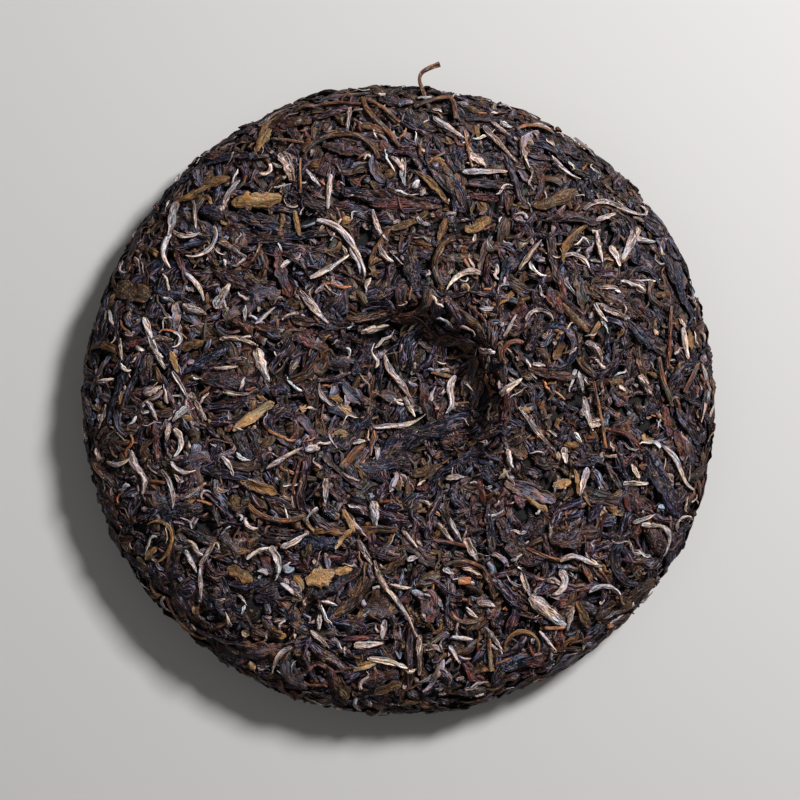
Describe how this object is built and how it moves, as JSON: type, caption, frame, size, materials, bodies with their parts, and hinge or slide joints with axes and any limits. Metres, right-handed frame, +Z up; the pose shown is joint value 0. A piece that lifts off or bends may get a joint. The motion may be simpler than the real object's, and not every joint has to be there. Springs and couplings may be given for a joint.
{
  "type": "pressed tea cake",
  "caption": "Round cake of pressed raw pu-erh tea: a domed disc of dry twisted leaves and pale buds with a round dimple in the middle.",
  "frame": {"origin": "centre of the flat spot that the cake rests on, in the middle of the underside", "axes": "+Z up out of the shown side, the one with the dimple; +Y towards the top of the picture; +X to the right in the picture"},
  "size_m": [0.1997, 0.205, 0.0247],
  "materials": {
    "tea": "matte"
  },
  "bodies": {
    "root": {"tea_cake": "tea"}
  },
  "joints": []
}
